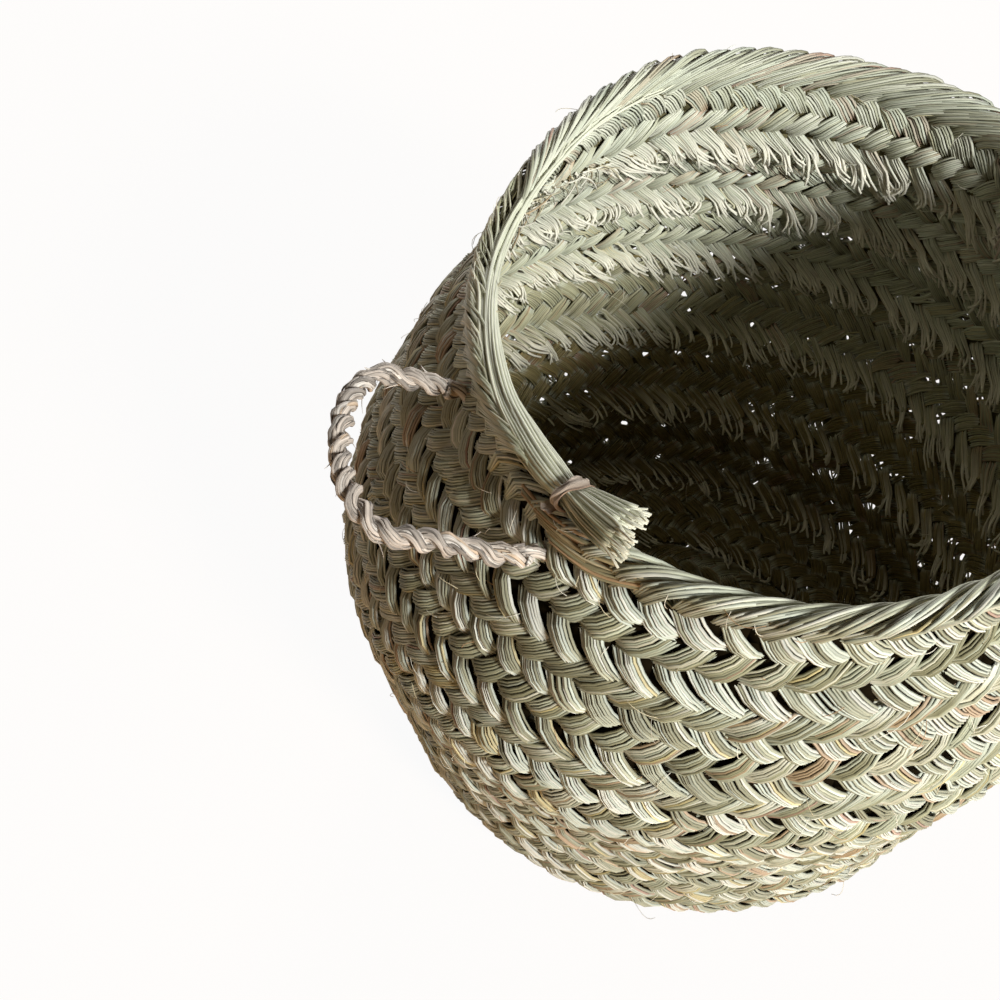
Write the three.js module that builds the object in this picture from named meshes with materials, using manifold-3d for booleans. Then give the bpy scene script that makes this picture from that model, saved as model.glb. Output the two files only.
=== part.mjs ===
// Esparto basket: one long flat plait coiled from the middle of the base up to the rim, each turn sewn to the
// turn before it with a cord, and two twisted rope handles threaded through the wall.
// Millimetres, +Z up, the origin under the middle of the base, the front of the basket towards -Y.
import * as THREE from "three";
import { mergeVertices } from "three/addons/utils/BufferGeometryUtils.js";
import Module from "manifold-3d";

// The plait and how it is coiled
const plaitWidth = 53;
const plaitThickness = 7;
const edgeThickness = 2.6; // the plait is thinner where the strands fold round its edges
const edgeSlope = 6; // width of the thinner strip along each edge
const edgeShare = 0.3; // and the most of the width that it may take, where the plait is narrow
const gap = 0.3; // clearance between neighbouring pieces
const tieAngle = 230; // where the plait ends, in degrees anticlockwise from +X
const heartRadius = 22; // the middle of the base, where the plait starts
const stepsPerTurn = 36;
const samplesPerKnot = 16; // of the body's outline
const normalStep = 2; // length over which the slope of the wall is taken

// The body: radius and height of the middle of the wall, from the base to above the rim
const baseRadius = 134;
const baseFlat = 110; // the base lies flat on the ground as far out as this
const heelRadius = 159;
const heelHeight = 40;
const heelFullness = [0.72, 0.35]; // how far out and how far up the corner of the heel comes
const bellyRadius = 186;
const bellyHeight = 158;
const waistFullness = 0.55; // share of the way out to the belly, half way up to it
const shoulderRadius = 168;
const shoulderHeight = 232;
const neckRadius = 148;
const neckHeight = 280;
const neckFlare = 1; // above the neck the wall stands nearly upright, wider by this at each further knot
const rimHeight = 290; // where the plait's lower edge has risen to when it ends

// Handwork makes the upper body lean and go out of round
const leanX = 15;
const leanY = -25;
const leanStart = 0.3; // share of the rim's height below which the body stands true
const leanCurve = 1.5; // how the lean grows above it
const ovalShare = 0.11;
const ovalAngle = 81;
const lobeShare = 0.024;
const lobeAngle = 29;

// The last turn narrows to a bundle of stalks, tied down, with a brush of loose ends beyond the tie
const taperFrom = 0.64; // in turns after the start of the last turn
const taperTo = 0.84;
const bundleHeight = 13;
const bundleThickness = 12;
const bundleLift = 2.5; // room for the strip that ties the bundle down
const liftTurns = 0.03;
const tailLength = 32;
const tailHeight = 9;
const tailSpread = 22;
const tailEdge = 10; // width of the brush's upper and lower sides at its end
const tailSteps = 4;
const tailRise = 4;
const tailDrift = 2; // the tail runs in over the mouth a little
const tieWidth = 8;
const tieThickness = 1.3;
const tieClearance = 1;
const tieSides = 16;

// The sewing cord lies in the inner groove between two turns
const cordDiameter = 2.4;
const cordSides = 5;

// The rope handles
const ropeDiameter = 9.5;
const leftAngle = 214.4; // the middle of each handle, in degrees anticlockwise from +X
const rightAngle = 18;
const handleArc = 32.4; // degrees from one eye to the other
const handleDrop = 31; // from the rim's edge down to the eyes
const handleSkew = 7; // the front eye is that much lower
const handleReach = 56; // from the line of the eyes to the far side of the loop
const handleRaise = 16; // degrees above level at which the stiff loop stands
const eyeStand = 2.6; // the rope shows that far out of the wall before the loop turns
const knotRadius = 8;
const knotLength = 12;
const knotShoulder = 0.85; // the knot's radius against the wall and at its end, as shares
const knotEnd = 0.7;
const ropeSides = 8;
const roundSides = 12; // of knots, eyes and the loops' ends
const loopSteps = 22;
// The loop's route in its own plane, chosen by eye: shares of the span between the eyes and of the reach
const loopRoute = [
  [-0.5, 0], [-0.54, 0.12], [-0.57, 0.28], [-0.6, 0.42], [-0.56, 0.57], [-0.45, 0.74], [-0.24, 0.91], [0, 1],
  [0.2, 0.98], [0.32, 0.88], [0.36, 0.74], [0.39, 0.58], [0.43, 0.36], [0.48, 0.13], [0.5, 0],
];

const wasm = await Module();
wasm.setup();
const radians = THREE.MathUtils.degToRad;

// Body shape

// The outline through the named radii and heights, as a table of arc length, radius and height
function bodyOutline() {
  const [heelOut, heelUp] = heelFullness;
  const waistRadius = heelRadius + (bellyRadius - heelRadius) * waistFullness;
  const neckStep = neckHeight - shoulderHeight;
  const knots = [
    [baseFlat, 0],
    [baseRadius, 0],
    [baseRadius + (heelRadius - baseRadius) * heelOut, heelHeight * heelUp],
    [heelRadius, heelHeight],
    [waistRadius, (heelHeight + bellyHeight) / 2],
    [bellyRadius, bellyHeight],
    [shoulderRadius, shoulderHeight],
    [neckRadius, neckHeight],
    [neckRadius + neckFlare, neckHeight + neckStep],
    [neckRadius + 2 * neckFlare, neckHeight + 2 * neckStep],
  ];
  const points = knots.map(([r, z]) => new THREE.Vector3(r, 0, z));
  const curve = new THREE.CatmullRomCurve3(points, false, "centripetal");
  const table = [{ arc: 0, r: 0, z: 0 }];
  const samples = samplesPerKnot * (knots.length - 1);
  for (let i = 0; i <= samples; i++) {
    const p = curve.getPoint(i / samples);
    const last = table[table.length - 1];
    const z = Math.max(p.z, 0); // the base is flat
    table.push({ arc: last.arc + Math.hypot(p.x - last.r, z - last.z), r: p.x, z });
  }
  return table;
}

const outline = bodyOutline();

function interpolate(from, to, value) {
  let i = 1;
  while (i < outline.length - 1 && outline[i][from] < value) i++;
  const a = outline[i - 1];
  const b = outline[i];
  return a[to] + ((value - a[from]) / (b[from] - a[from])) * (b[to] - a[to]);
}

const rimArc = interpolate("z", "arc", rimHeight);
const turns = rimArc / plaitWidth + 1; // turns of plait from the heart to the tie

// A point of the wall: arc length from the middle of the base, angle in radians, distance out from mid-wall
function wallPoint(arc, angle, out) {
  const [before, after] = [Math.max(arc - normalStep, 0), arc + normalStep];
  const dr = interpolate("arc", "r", after) - interpolate("arc", "r", before);
  const dz = interpolate("arc", "z", after) - interpolate("arc", "z", before);
  const length = Math.hypot(dr, dz);
  const r = interpolate("arc", "r", arc) + (out * dz) / length;
  const z = interpolate("arc", "z", arc) - (out * dr) / length;
  const share = Math.max(0, (z / rimHeight - leanStart) / (1 - leanStart)) ** leanCurve;
  const round =
    1 +
    share * ovalShare * Math.cos(2 * (angle - radians(ovalAngle))) +
    share * lobeShare * Math.cos(3 * (angle - radians(lobeAngle)));
  return new THREE.Vector3(
    r * round * Math.cos(angle) + share * leanX,
    r * round * Math.sin(angle) + share * leanY,
    z + plaitThickness / 2,
  );
}

// Length of a full turn at the radius where the plait ends
const rimLength = 2 * Math.PI * wallPoint(rimArc, radians(tieAngle), 0).setZ(0).length();
const angleAt = (turn) => radians(tieAngle) + 2 * Math.PI * (turn - turns);
const edgeArc = (turn) => Math.max(plaitWidth * turn, heartRadius);

function smooth(from, to, value) {
  const t = THREE.MathUtils.clamp((value - from) / (to - from), 0, 1);
  return t * t * (3 - 2 * t);
}

// Geometry helpers

function meshGeometry(points, faces) {
  const geometry = new THREE.BufferGeometry().setFromPoints(points);
  geometry.setIndex(faces.flat());
  return geometry;
}

// A closed skin over a row of sections with the same number of points each, with flat ends
function loft(sections) {
  const count = sections[0].length;
  const faces = [];
  for (let i = 0; i < sections.length - 1; i++) {
    for (let j = 0; j < count; j++) {
      const a = i * count + j;
      const b = i * count + ((j + 1) % count);
      faces.push([a, b + count, b], [a, a + count, b + count]);
    }
  }
  const end = (sections.length - 1) * count;
  for (let j = 1; j < count - 1; j++) {
    faces.push([0, j, j + 1], [end, end + j + 1, end + j]);
  }
  return meshGeometry(sections.flat(), faces);
}

function toSolid(geometry) {
  const bare = new THREE.BufferGeometry();
  bare.setAttribute("position", geometry.getAttribute("position").clone());
  if (geometry.index) bare.setIndex(geometry.index.clone());
  const merged = mergeVertices(bare, 1e-4);
  return new wasm.Manifold(
    new wasm.Mesh({
      numProp: 3,
      vertProperties: merged.attributes.position.array,
      triVerts: new Uint32Array(merged.index.array),
    }),
  );
}

function toGeometry(solid) {
  const mesh = solid.getMesh();
  const geometry = new THREE.BufferGeometry();
  geometry.setAttribute("position", new THREE.BufferAttribute(mesh.vertProperties, 3));
  geometry.setIndex(new THREE.BufferAttribute(mesh.triVerts, 1));
  return geometry;
}

function finish(name, geometry, material) {
  const mesh = new THREE.Mesh(geometry, material);
  mesh.geometry.computeVertexNormals();
  mesh.name = name;
  return mesh;
}

const dry = (color, roughness) => new THREE.MeshStandardMaterial({ color, roughness, metalness: 0 });
const plaitMaterial = () => dry(0x9a9670, 0.8);
const cordMaterial = () => dry(0x8a8158, 0.9);
const stripMaterial = () => dry(0xc9b8a4, 0.75);

// Plait turns

// Turns at which a piece has its sections, with room for the gap at both ends
function stations(from, to) {
  const list = [];
  const first = Math.ceil((from - turns) * stepsPerTurn + 1e-6);
  const last = Math.floor((to - turns) * stepsPerTurn - 1e-6);
  const radiusAt = (arc) => Math.max(interpolate("arc", "r", arc), heartRadius);
  const endGap = (arc) => gap / 2 / (2 * Math.PI * radiusAt(arc));
  list.push(from + endGap(edgeArc(from)));
  for (let i = first; i <= last; i++) list.push(turns + i / stepsPerTurn);
  list.push(to - endGap(edgeArc(to)));
  return list;
}

// How the plait changes along the last turn and in the tail
function plaitShape(turn) {
  const along = turn - (turns - 1);
  const taper = smooth(taperFrom, taperTo, along);
  const width = plaitWidth + (bundleHeight - plaitWidth) * taper;
  return {
    width,
    thickness: plaitThickness + (bundleThickness - plaitThickness) * taper,
    slope: Math.min(edgeSlope, width * edgeShare),
    lift: bundleLift * smooth(1 - 2 * liftTurns, 1 - liftTurns, along),
  };
}

// The eight corners of the plait, as arc above its lower edge and distance out
function plaitSection(turn) {
  const { width, thickness, slope, lift } = plaitShape(turn);
  const low = edgeArc(turn - 1) + lift + gap / 2;
  const high = Math.min(edgeArc(turn - 1) + lift + width, edgeArc(turn) + lift) - gap / 2;
  const angle = angleAt(turn);
  const corners = [
    [low, -edgeThickness / 2],
    [low, edgeThickness / 2],
    [low + slope, thickness / 2],
    [high - slope, thickness / 2],
    [high, edgeThickness / 2],
    [high, -edgeThickness / 2],
    [high - slope, -thickness / 2],
    [low + slope, -thickness / 2],
  ];
  return corners.map(([arc, out]) => wallPoint(arc, angle, out));
}

// The brush of loose ends: it runs on past the tie, over the start of the same turn
function tailSections() {
  const sections = [];
  for (let i = 1; i <= tailSteps; i++) {
    const t = i / tailSteps;
    const turn = turns + (t * tailLength) / rimLength;
    const height = bundleHeight + (tailHeight - bundleHeight) * t;
    const thick = bundleThickness + (tailSpread - bundleThickness) * t;
    const low = edgeArc(turn - 1) + bundleLift + tailRise * t;
    const slope = height * edgeShare;
    const middle = -tailDrift * t * t;
    const half = thick / 2;
    const edge = (edgeThickness + (tailEdge - edgeThickness) * t) / 2;
    const corners = [
      [low, -edge],
      [low, edge],
      [low + slope, half],
      [low + height - slope, half],
      [low + height, edge],
      [low + height, -edge],
      [low + height - slope, -half],
      [low + slope, -half],
    ];
    sections.push(corners.map(([arc, out]) => wallPoint(arc, angleAt(turn), middle + out)));
  }
  return sections;
}

// The heart of the base: a flat disc with a spiral edge, stepped where the next turn starts
function heart(to) {
  const list = stations(to - 1, to);
  list[0] = to - 1; // the step is one end face
  const top = plaitThickness / 2;
  const rings = list.map((turn) => {
    const rim = edgeArc(turn) - gap / 2;
    const slope = Math.min(edgeSlope, rim * edgeShare);
    const angle = angleAt(turn);
    return [
      wallPoint(rim - slope, angle, -top),
      wallPoint(rim, angle, -edgeThickness / 2),
      wallPoint(rim, angle, edgeThickness / 2),
      wallPoint(rim - slope, angle, top),
    ];
  });
  const points = rings.flat();
  const upper = points.push(new THREE.Vector3(0, 0, plaitThickness)) - 1;
  const under = points.push(new THREE.Vector3(0, 0, 0)) - 1;
  const faces = [];
  const last = (rings.length - 1) * 4;
  for (let i = 0; i < rings.length - 1; i++) {
    const a = i * 4;
    const b = a + 4;
    faces.push([upper, a, b], [under, b + 3, a + 3]);
    for (let j = 0; j < 3; j++) faces.push([a + j, a + j + 1, b + j + 1], [a + j, b + j + 1, b + j]);
  }
  faces.push([upper, last, 0], [under, 3, last + 3]);
  for (let j = 0; j < 3; j++) faces.push([last + j, last + j + 1, j + 1], [last + j, j + 1, j]);
  return meshGeometry(points, faces);
}

// Sewing cords

// The cord sits against the sloped edges of both turns, on the inner side
function cordSection(turn) {
  const { thickness, slope, lift } = plaitShape(turn);
  const steep = Math.max(
    (thickness - edgeThickness) / 2 / (slope - gap),
    (plaitThickness - edgeThickness) / 2 / (edgeSlope - gap),
  );
  const radius = cordDiameter / 2;
  const depth = edgeThickness / 2 + (radius + gap) * Math.hypot(1, steep);
  const arc = edgeArc(turn - 1) + lift / 2;
  const angle = angleAt(turn);
  const section = [];
  for (let i = 0; i < cordSides; i++) {
    const a = (2 * Math.PI * i) / cordSides;
    section.push(wallPoint(arc - radius * Math.sin(a), angle, -depth - radius * Math.cos(a)));
  }
  return section;
}

// Handles

// The place of an eye on the wall: its middle, and the direction out of the wall
function eye(middleAngle, side) {
  const middleTurn = turns - (((tieAngle - middleAngle) % 360) + 360) % 360 / 360;
  const rimEdge = edgeArc(middleTurn - 1) + plaitShape(middleTurn).width;
  const arc = rimEdge - handleDrop - (side * handleSkew) / 2;
  const angle = radians(middleAngle + (side * handleArc) / 2);
  const point = wallPoint(arc, angle, 0);
  const along = wallPoint(arc, angle + 0.01, 0).sub(wallPoint(arc, angle - 0.01, 0));
  const up = wallPoint(arc + 1, angle, 0).sub(wallPoint(arc - 1, angle, 0));
  return { point, out: along.cross(up).normalize() };
}

const pivotOut = plaitThickness / 2 + eyeStand + gap + ropeDiameter / 2;

// Where a loop turns: the middle of the line between its two ends, and its three directions
function loopFrame(middleAngle) {
  const [back, front] = [-1, 1].map((side) => eye(middleAngle, side));
  const ends = [back, front].map(({ point, out }) => point.clone().addScaledVector(out, pivotOut));
  const along = ends[1].clone().sub(ends[0]);
  const span = along.length();
  along.normalize();
  const middle = ends[0].clone().add(ends[1]).multiplyScalar(0.5);
  const level = along.clone().cross(new THREE.Vector3(0, 0, 1)).normalize();
  const up = level.clone().cross(along).normalize();
  const raise = radians(handleRaise);
  const reach = level.clone().multiplyScalar(Math.cos(raise)).addScaledVector(up, Math.sin(raise));
  const across = along.clone().cross(reach);
  return { middle, span, basis: new THREE.Matrix4().makeBasis(along, reach, across) };
}

// A rope loop in its own frame: X along the line of its ends, Y towards its far side
function ropeLoop(span) {
  const points = loopRoute.map(([x, y]) => new THREE.Vector3(x * span, y * handleReach, 0));
  const path = new THREE.CatmullRomCurve3(points, false, "centripetal");
  const section = new THREE.Shape();
  for (let i = 0; i < ropeSides; i++) {
    const a = (2 * Math.PI * (i + 0.5)) / ropeSides;
    const [x, y] = [(ropeDiameter / 2) * Math.cos(a), (ropeDiameter / 2) * Math.sin(a)];
    if (i) section.lineTo(x, y);
    else section.moveTo(x, y);
  }
  const settings = { steps: loopSteps, extrudePath: path, bevelEnabled: false };
  const tube = new THREE.ExtrudeGeometry(section, settings);
  let solid = toSolid(tube);
  for (const side of [-1, 1]) {
    const ball = new THREE.SphereGeometry(ropeDiameter / 2, roundSides, roundSides / 2);
    ball.translate((side * span) / 2, 0, 0);
    solid = solid.add(toSolid(ball));
  }
  return toGeometry(solid);
}

// The end of the rope: it passes through the wall to a knot on the inner side, along +Y out of the wall
function ropeEnd() {
  const half = plaitThickness / 2;
  const radius = ropeDiameter / 2;
  const seat = -half - 3 * gap; // the wall is curved, so the knot stands a little off it
  const profile = [
    [0, seat - knotLength],
    [knotRadius * knotEnd, seat - knotLength],
    [knotRadius, seat - knotLength / 2],
    [knotRadius * knotShoulder, seat],
    [radius, seat],
    [radius, half + eyeStand],
    [0, half + eyeStand],
  ];
  return new THREE.LatheGeometry(profile.map(([x, y]) => new THREE.Vector2(x, y)), roundSides);
}

function eyeHole() {
  const radius = ropeDiameter / 2 + 1.5 * gap;
  return new THREE.CylinderGeometry(radius, radius, 4 * plaitThickness, roundSides);
}

function atEye(object, { point, out }) {
  object.position.copy(point);
  object.quaternion.setFromUnitVectors(new THREE.Vector3(0, 1, 0), out);
  object.updateMatrix();
  return object;
}

// Assembly

const basket = new THREE.Group();
const wall = new THREE.Group();
const seams = new THREE.Group();
basket.add(wall, seams);

// Where each piece ends: the joins stand under the tie, one turn apart
const joins = [];
for (let turn = turns; turn >= 1; turn--) joins.unshift(turn);

// The heel course is the first whose upper edge has left the base; the base lies inside it
const heelIndex = joins.findIndex((turn) => edgeArc(turn) > baseRadius + plaitWidth / 4);

function courseName(index) {
  if (index === joins.length - 1) return "rim_course";
  if (index < heelIndex) return `base_turn_${index + 1}`;
  return index === heelIndex ? "heel_course" : `wall_course_${index - heelIndex}`;
}

const handles = [
  { side: "left", angle: leftAngle },
  { side: "right", angle: rightAngle },
];
const holes = handles.flatMap(({ angle }) =>
  [-1, 1].map((side) => {
    const hole = atEye(new THREE.Mesh(eyeHole()), eye(angle, side));
    return toSolid(hole.geometry.clone().applyMatrix4(hole.matrix));
  }),
);

wall.add(finish("base_heart", heart(joins[0]), plaitMaterial()));
for (let i = 1; i < joins.length; i++) {
  const list = stations(joins[i - 1], joins[i]);
  const sections = list.map(plaitSection);
  const isRim = i === joins.length - 1;
  if (isRim) sections.push(...tailSections());
  let solid = toSolid(loft(sections));
  for (const hole of holes) solid = solid.subtract(hole);
  const name = courseName(i);
  wall.add(finish(name, toGeometry(solid), plaitMaterial()));
  const sewn = isRim ? list.filter((turn) => turn < turns - 2 * liftTurns) : list; // the tie holds the rest
  seams.add(finish(`sewing_cord_${i}`, loft(sewn.map(cordSection)), cordMaterial()));
}

// The palm strip that ties the bundle down, a band just before the tail
function tie() {
  const halfTurn = tieWidth / 2 / rimLength;
  const ends = [turns - 3 * halfTurn, turns - halfTurn];
  const band = (grow, reachOut) => {
    const sections = [ends[0] - reachOut, ends[1] + reachOut].map((turn) => {
      const low = edgeArc(turn - 1) + bundleLift;
      const middle = low + bundleHeight / 2;
      const points = [];
      for (let k = 0; k < tieSides; k++) {
        const a = (2 * Math.PI * (k + 0.5)) / tieSides;
        const arc = middle - (bundleHeight / 2 + grow) * Math.cos(a);
        points.push(wallPoint(arc, angleAt(turn), (bundleThickness / 2 + grow) * Math.sin(a)));
      }
      return points;
    });
    return toSolid(loft(sections));
  };
  return toGeometry(band(tieClearance + tieThickness, 0).subtract(band(tieClearance, halfTurn)));
}
basket.add(finish("tail_tie", tie(), stripMaterial()));

for (const { side, angle } of handles) {
  const { middle, span, basis } = loopFrame(angle);
  const loop = finish(`handle_${side}`, ropeLoop(span), stripMaterial());
  loop.position.copy(middle);
  loop.quaternion.setFromRotationMatrix(basis);
  basket.add(loop);
  for (const [end, sign] of [["back", -1], ["front", 1]]) {
    basket.add(atEye(finish(`handle_${side}_${end}_end`, ropeEnd(), stripMaterial()), eye(angle, sign)));
  }
}

export default basket;
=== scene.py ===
import bpy
import math
import numpy as np
from mathutils import Matrix, Vector


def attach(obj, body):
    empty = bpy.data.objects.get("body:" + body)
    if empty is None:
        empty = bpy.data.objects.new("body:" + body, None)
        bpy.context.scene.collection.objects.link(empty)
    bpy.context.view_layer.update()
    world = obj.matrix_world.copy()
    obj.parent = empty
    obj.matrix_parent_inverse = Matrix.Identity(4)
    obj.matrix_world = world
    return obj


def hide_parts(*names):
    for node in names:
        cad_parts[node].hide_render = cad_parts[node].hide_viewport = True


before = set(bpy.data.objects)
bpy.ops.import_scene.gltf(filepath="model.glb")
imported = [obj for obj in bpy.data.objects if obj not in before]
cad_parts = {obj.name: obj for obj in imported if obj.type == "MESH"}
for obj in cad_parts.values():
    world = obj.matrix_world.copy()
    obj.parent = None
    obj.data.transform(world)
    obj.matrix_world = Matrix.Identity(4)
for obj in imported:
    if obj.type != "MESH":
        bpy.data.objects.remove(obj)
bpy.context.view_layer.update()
mm = 0.001
rng = np.random.default_rng(11)

# The wall in millimetres and degrees, with the radii, heights and lean of the frame's solids
wallShape = dict(
    plaitWidth=53, plaitThickness=7, tieAngle=230, heartRadius=22,
    baseFlat=110, baseRadius=134, heelRadius=159, heelHeight=40, heelOut=0.72, heelUp=0.35,
    bellyRadius=186, bellyHeight=158, waistFullness=0.55, shoulderRadius=168, shoulderHeight=232,
    neckRadius=148, neckHeight=280, neckFlare=1, rimHeight=290,
    leanX=15, leanY=-25, leanStart=0.3, leanCurve=1.5,
    ovalShare=0.11, ovalAngle=81, lobeShare=0.024, lobeAngle=29,
    taperFrom=0.64, taperTo=0.84, bundleHeight=13, bundleThickness=12, bundleLift=2.5, liftTurns=0.03,
    stepsPerTurn=72, stepsPerKnot=16, normalStep=2,
)


def between(first, second, share):
    return first + (second - first) * share


def smooth(start, end, value):
    t = np.clip((value - start) / (end - start), 0, 1)
    return t * t * (3 - 2 * t)


def unit(vectors):
    return vectors / (np.linalg.norm(vectors, axis=-1, keepdims=True) + 1e-12)


def turnedTo(angle, first, second):  # from the first direction towards the second
    return np.cos(angle)[..., None] * first + np.sin(angle)[..., None] * second


def runAlong(points):  # how far along its path each point lies
    return np.append(0, np.cumsum(np.linalg.norm(np.diff(points, axis=0), axis=1)))


def uneven(spread, shape):  # factors that vary about 1
    return 1 + spread * rng.standard_normal(shape)


# A smooth curve through points, as the frame's own curves are drawn
def throughPoints(points, steps):
    pts = np.asarray(points, float)
    pts = np.vstack([2 * pts[0] - pts[1], pts, 2 * pts[-1] - pts[-2]])
    curve = [pts[1]]
    for i in range(1, len(pts) - 2):
        a, b, c, d = pts[i - 1:i + 3]
        d0, d1, d2 = [math.sqrt(np.linalg.norm(q - p)) for p, q in ((a, b), (b, c), (c, d))]
        leave = ((b - a) / d0 - (c - a) / (d0 + d1) + (c - b) / d1) * d1
        reach = ((c - b) / d1 - (d - b) / (d1 + d2) + (d - c) / d2) * d1
        for k in range(1, steps + 1):
            t = k / steps
            bend = (3 * (c - b) - 2 * leave - reach) * t * t + (2 * (b - c) + leave + reach) * t ** 3
            curve.append(b + leave * t + bend)
    return np.array(curve)


def bodyOutline():
    w = wallShape
    neckStep = w["neckHeight"] - w["shoulderHeight"]
    heel = w["heelRadius"] - w["baseRadius"]
    knots = [
        (w["baseFlat"], 0), (w["baseRadius"], 0),
        (w["baseRadius"] + heel * w["heelOut"], w["heelHeight"] * w["heelUp"]),
        (w["heelRadius"], w["heelHeight"]),
        (w["heelRadius"] + (w["bellyRadius"] - w["heelRadius"]) * w["waistFullness"],
         (w["heelHeight"] + w["bellyHeight"]) / 2),
        (w["bellyRadius"], w["bellyHeight"]), (w["shoulderRadius"], w["shoulderHeight"]),
        (w["neckRadius"], w["neckHeight"]),
        (w["neckRadius"] + w["neckFlare"], w["neckHeight"] + neckStep),
        (w["neckRadius"] + 2 * w["neckFlare"], w["neckHeight"] + 2 * neckStep),
    ]
    curve = throughPoints(knots, w["stepsPerKnot"])
    curve = np.vstack([(0, 0), curve])
    curve[:, 1] = np.maximum(curve[:, 1], 0)  # the base is flat
    return runAlong(curve), curve


outlineArc, outline = bodyOutline()


def outlineAt(arc):  # radius and height
    return np.stack([np.interp(arc, outlineArc, outline[:, k]) for k in (0, 1)], -1)


def wallSlope(arc):
    step = wallShape["normalStep"]
    slope = unit(outlineAt(arc + step) - outlineAt(np.maximum(arc - step, 0)))
    return slope[..., 0], slope[..., 1]


# Points of the wall: arc from the middle of the base, angle in radians, distance out from mid wall
def onWall(arc, angle, out):
    w = wallShape
    dr, dz = wallSlope(arc)
    place = outlineAt(arc)
    radius, z = place[..., 0] + out * dz, place[..., 1] - out * dr
    share = np.maximum(0, (z / w["rimHeight"] - w["leanStart"]) / (1 - w["leanStart"])) ** w["leanCurve"]
    oval = w["ovalShare"] * np.cos(2 * (angle - math.radians(w["ovalAngle"])))
    lobe = w["lobeShare"] * np.cos(3 * (angle - math.radians(w["lobeAngle"])))
    radius = radius * (1 + share * (oval + lobe))
    return np.stack([
        radius * np.cos(angle) + share * w["leanX"],
        radius * np.sin(angle) + share * w["leanY"],
        z + w["plaitThickness"] / 2,
    ], -1)


def outOfWall(arc, angle):
    dr, dz = wallSlope(arc)
    return np.stack([dz * np.cos(angle), dz * np.sin(angle), -dr], -1)


# The plait: turns counted from the middle of the base, and the ruler along it in millimetres
rimArc = float(np.interp(wallShape["rimHeight"], outline[:, 1], outlineArc))
turns = rimArc / wallShape["plaitWidth"] + 1
joins = [turns - k for k in range(int(turns) - 1, -1, -1)]
courseNames = (["base_heart", "base_turn_2", "heel_course"]
               + [f"wall_course_{k}" for k in range(1, len(joins) - 3)] + ["rim_course"])
tieAngle = math.radians(wallShape["tieAngle"])
rimLength = 2 * math.pi * float(np.linalg.norm(onWall(rimArc, tieAngle, 0)[:2]))  # of a turn at the tie


def angleAt(turn):
    return tieAngle + 2 * math.pi * (turn - turns)


def upperArc(turn):
    return np.maximum(wallShape["plaitWidth"] * turn, wallShape["heartRadius"])


def lowerArc(turn):
    return np.maximum(wallShape["plaitWidth"] * (turn - 1), 0)


def plaitAt(turn):  # lower edge and width of the plait
    w = wallShape
    along = turn - (turns - 1)
    taper = smooth(w["taperFrom"], w["taperTo"], along)
    width = between(w["plaitWidth"], w["bundleHeight"], taper)
    lift = w["bundleLift"] * smooth(1 - 2 * w["liftTurns"], 1 - w["liftTurns"], along)
    return lowerArc(turn) + lift, np.minimum(width, upperArc(turn) - lowerArc(turn))


def plaitRuler():
    turn = np.arange(joins[0] - 1, turns + 0.1, 1 / wallShape["stepsPerTurn"])
    middle = (upperArc(turn) + lowerArc(turn)) / 2
    return turn, runAlong(onWall(middle, angleAt(turn), 0))


rulerTurn, rulerLength = plaitRuler()
print("wall: turns", round(turns, 3), "plait length mm", round(float(rulerLength[-1])))

# Colours of the grass and the palm leaf, as they look in plain light, red green blue from 0 to 255
grassTones = [
    ((232, 230, 214), 4.5), ((212, 216, 198), 5), ((188, 187, 162), 4), ((164, 161, 134), 2.4),
    ((200, 176, 148), 1.1), ((204, 172, 152), 0.5), ((218, 204, 158), 0.5),
]
palmTones = [
    ((234, 220, 206), 4), ((212, 200, 188), 3), ((246, 237, 226), 3.5),
    ((184, 174, 164), 1.6), ((222, 198, 172), 0.9),
]
tieTone = (204, 187, 170)
tieEdgeTone = (128, 96, 72)
creamTone = (250, 245, 228)
bundleTone = (230, 234, 210)
# painted light for the lit side of the rim bundle
paintedLightTone = (248, 250, 228)
# painted shade for the core tiles, olive on their inner face and near black on their outer face
shadeTone = (104, 98, 70)
paintedShadowTone = (26, 20, 10)


def linear(tone):
    c = np.asarray(tone, float) / 255
    return np.where(c <= 0.04045, c / 12.92, ((c + 0.055) / 1.055) ** 2.4)


def pickTones(tones, shape, spread=0.1):
    weight = np.array([t[1] for t in tones], float)
    colours = linear([t[0] for t in tones])
    chosen = colours[rng.choice(len(tones), size=shape, p=weight / weight.sum())]
    return chosen * uneven(spread, shape)[..., None]
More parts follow.
